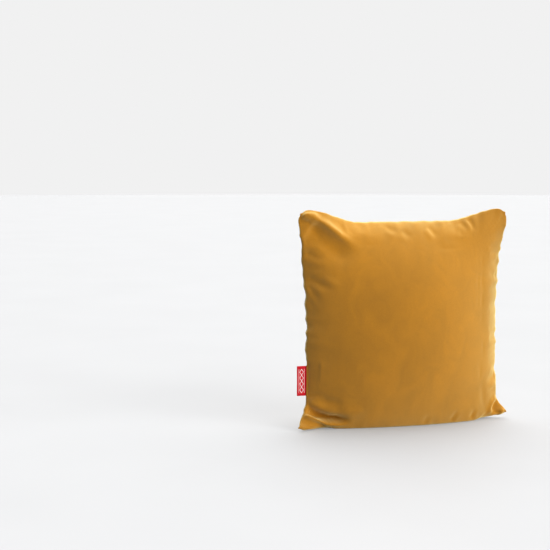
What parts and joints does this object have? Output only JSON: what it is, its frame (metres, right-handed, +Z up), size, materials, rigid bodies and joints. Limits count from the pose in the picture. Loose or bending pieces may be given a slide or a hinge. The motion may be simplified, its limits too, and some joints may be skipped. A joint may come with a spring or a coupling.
{
  "type": "throw pillow",
  "caption": "Square knife-edge velvet throw pillow standing on its bottom seam, with a zipped cover, a ribbon label in one side seam and a removable filled pad.",
  "frame": {"origin": "on the floor, under the middle of the standing pillow", "axes": "+X along the bottom seam, with the side label at -X; the front faces -Y; +Z up through the top seam"},
  "size_m": [0.45, 0.146, 0.436],
  "materials": {
    "velvet": "ochre cotton velvet, short pile with a soft sheen",
    "cover_thread": "ochre polyester sewing thread",
    "zip_tape": "woven herringbone tape",
    "zip_coil": "moulded nylon teeth",
    "zip_metal": "antique brass plating, lightly brushed",
    "red_ribbon": "woven red ribbon",
    "white_ribbon": "white satin ribbon",
    "cambric": "plain cotton cambric",
    "pad_thread": "white sewing thread",
    "fibre": "hollow polyester fibre"
  },
  "bodies": {
    "cushion": {"cover_front_panel": "velvet", "cover_back_panel": "velvet", "cover_seam_stitches": "cover_thread", "zip_tape_front": "zip_tape", "zip_tape_back": "zip_tape", "zip_teeth_front": "zip_coil", "zip_teeth_back": "zip_coil", "zip_top_stops": "zip_metal", "zip_bottom_stop": "zip_metal", "zip_stitches": "cover_thread", "side_label_tail": "red_ribbon", "care_label": "white_ribbon", "pad_front_panel": "cambric", "pad_back_panel": "cambric", "pad_seam_stitches": "pad_thread", "pad_filling": "fibre", "pad_label": "white_ribbon"},
    "zip_slider": {"zip_slider": "zip_metal"},
    "zip_pull": {"zip_pull": "zip_metal"},
    "side_label": {"side_label": "red_ribbon"}
  },
  "joints": [
    {"name": "zip_slide", "type": "slide", "parent": "cushion", "child": "zip_slider", "axis": [-1, 0, 0], "range_m": [0, 0.269], "deforming": ["zip_teeth_front", "zip_teeth_back"]},
    {"name": "pull_hinge", "type": "hinge", "parent": "zip_slider", "child": "zip_pull", "pos_m": [0.135, 0, 0.0034], "axis": [0, -1, 0], "range_deg": [0, 175]},
    {"name": "label_hinge", "type": "hinge", "parent": "cushion", "child": "side_label", "pos_m": [-0.2086, 0, 0.096], "axis": [0, 0, 1], "range_deg": [-80, 80], "stiffness_Nm_per_rad": 0.001}
  ]
}
